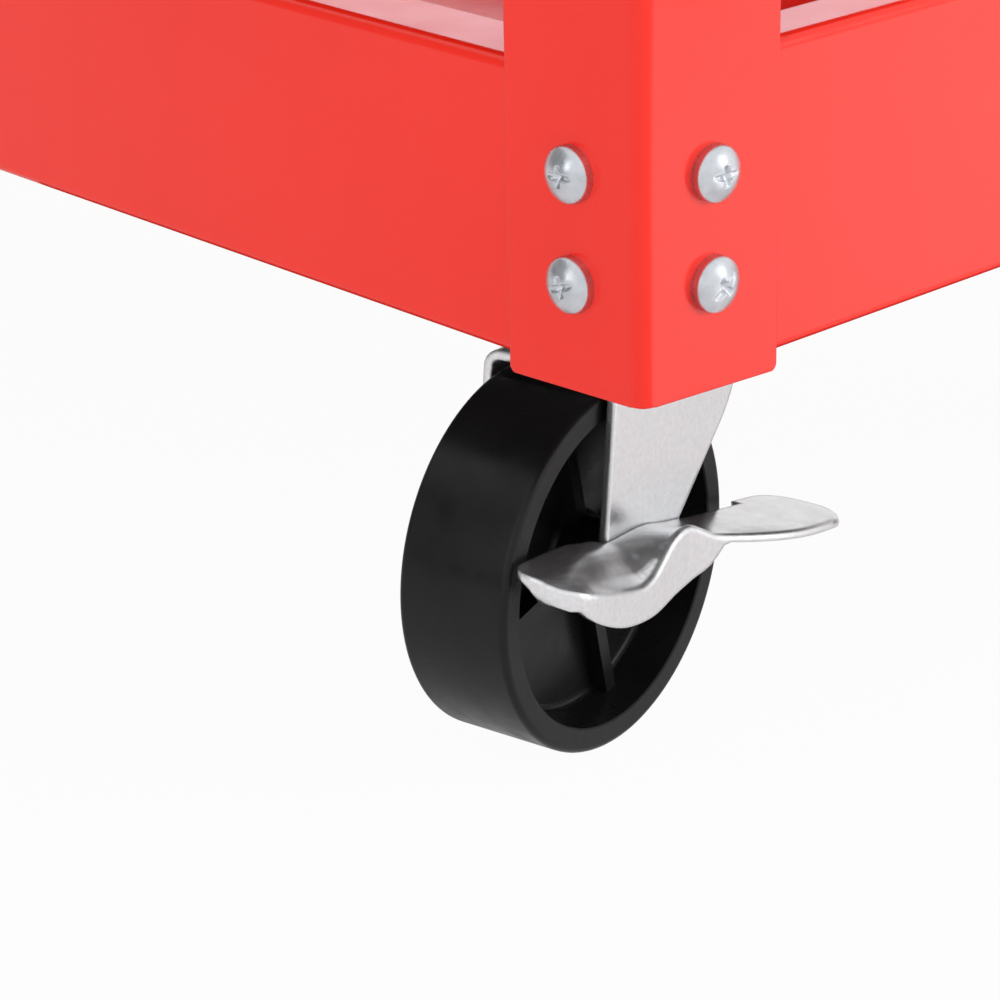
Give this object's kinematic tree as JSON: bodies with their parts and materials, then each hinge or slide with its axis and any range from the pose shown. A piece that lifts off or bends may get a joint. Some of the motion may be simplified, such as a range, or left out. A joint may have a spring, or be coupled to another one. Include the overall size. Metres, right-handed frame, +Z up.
{
  "type": "tiered tool cart",
  "caption": "Red steel tool cart with open lipped trays on angle posts, a tubular push handle, braked swivel casters at the handle end and fixed casters in front.",
  "frame": {"origin": "on the floor, under the middle of the cart's overall box", "axes": "+X forward, away from the handle; +Y to the left of someone pushing; +Z up"},
  "size_m": [0.8151, 0.4402, 0.786],
  "materials": {
    "red_paint": "glossy powder coat",
    "zinc_sheet": "bright zinc plate on pressed steel",
    "fastener_zinc": "bright zinc plate",
    "black_plastic": "semi-gloss moulded plastic",
    "grip_rubber": "matte"
  },
  "bodies": {
    "cart": {"post_rear_right": "red_paint", "post_rear_left": "red_paint", "post_front_right": "red_paint", "post_front_left": "red_paint", "tray_lower": "red_paint", "tray_middle": "red_paint", "tray_upper": "red_paint", "screws_lower": "fastener_zinc", "screws_middle": "fastener_zinc", "screws_upper": "fastener_zinc", "nuts_lower": "fastener_zinc", "nuts_middle": "fastener_zinc", "nuts_upper": "fastener_zinc", "handle_tube": "red_paint", "handle_grip": "grip_rubber", "handle_flange_right": "zinc_sheet", "handle_flange_left": "zinc_sheet", "handle_screws": "fastener_zinc", "handle_nuts": "fastener_zinc", "caster_bolts": "fastener_zinc", "caster_nuts": "fastener_zinc", "swivel_plate_right": "zinc_sheet", "swivel_pin_right": "zinc_sheet", "swivel_plate_left": "zinc_sheet", "swivel_pin_left": "zinc_sheet", "fixed_fork_right": "zinc_sheet", "fixed_axle_right": "fastener_zinc", "fixed_axle_nut_right": "fastener_zinc", "fixed_sleeve_right": "zinc_sheet", "fixed_fork_left": "zinc_sheet", "fixed_axle_left": "fastener_zinc", "fixed_axle_nut_left": "fastener_zinc", "fixed_sleeve_left": "zinc_sheet"},
    "swivel_right": {"swivel_fork_right": "zinc_sheet", "swivel_balls_right": "fastener_zinc", "swivel_axle_right": "fastener_zinc", "swivel_axle_nut_right": "fastener_zinc", "swivel_sleeve_right": "zinc_sheet", "brake_washer_right": "zinc_sheet"},
    "rear_wheel_right": {"swivel_wheel_right": "black_plastic"},
    "brake_right": {"brake_lever_right": "zinc_sheet"},
    "front_wheel_right": {"fixed_wheel_right": "black_plastic"},
    "swivel_left": {"swivel_fork_left": "zinc_sheet", "swivel_balls_left": "fastener_zinc", "swivel_axle_left": "fastener_zinc", "swivel_axle_nut_left": "fastener_zinc", "swivel_sleeve_left": "zinc_sheet", "brake_washer_left": "zinc_sheet"},
    "rear_wheel_left": {"swivel_wheel_left": "black_plastic"},
    "brake_left": {"brake_lever_left": "zinc_sheet"},
    "front_wheel_left": {"fixed_wheel_left": "black_plastic"}
  },
  "joints": [
    {"name": "swivel_right_turn", "type": "hinge", "parent": "cart", "child": "swivel_right", "pos_m": [-0.2131, -0.135, 0.1068], "axis": [0, 0, 1], "continuous": true},
    {"name": "rear_wheel_right_roll", "type": "hinge", "parent": "swivel_right", "child": "rear_wheel_right", "pos_m": [-0.24486, -0.1389, 0.0508], "axis": [-0.1219, 0.9925, 0], "continuous": true},
    {"name": "brake_right_press", "type": "hinge", "parent": "swivel_right", "child": "brake_right", "pos_m": [-0.24486, -0.1389, 0.0508], "axis": [0.1219, -0.9925, 0], "range_deg": [0, 20]},
    {"name": "front_wheel_right_roll", "type": "hinge", "parent": "cart", "child": "front_wheel_right", "pos_m": [0.3179, -0.135, 0.0508], "axis": [0, 1, 0], "continuous": true},
    {"name": "swivel_left_turn", "type": "hinge", "parent": "cart", "child": "swivel_left", "pos_m": [-0.2131, 0.135, 0.1068], "axis": [0, 0, 1], "continuous": true},
    {"name": "rear_wheel_left_roll", "type": "hinge", "parent": "swivel_left", "child": "rear_wheel_left", "pos_m": [-0.21921, 0.16641, 0.0508], "axis": [0.9816, 0.1908, 0], "continuous": true},
    {"name": "brake_left_press", "type": "hinge", "parent": "swivel_left", "child": "brake_left", "pos_m": [-0.21921, 0.16641, 0.0508], "axis": [-0.9816, -0.1908, 0], "range_deg": [0, 20]},
    {"name": "front_wheel_left_roll", "type": "hinge", "parent": "cart", "child": "front_wheel_left", "pos_m": [0.3179, 0.135, 0.0508], "axis": [0, 1, 0], "continuous": true}
  ]
}
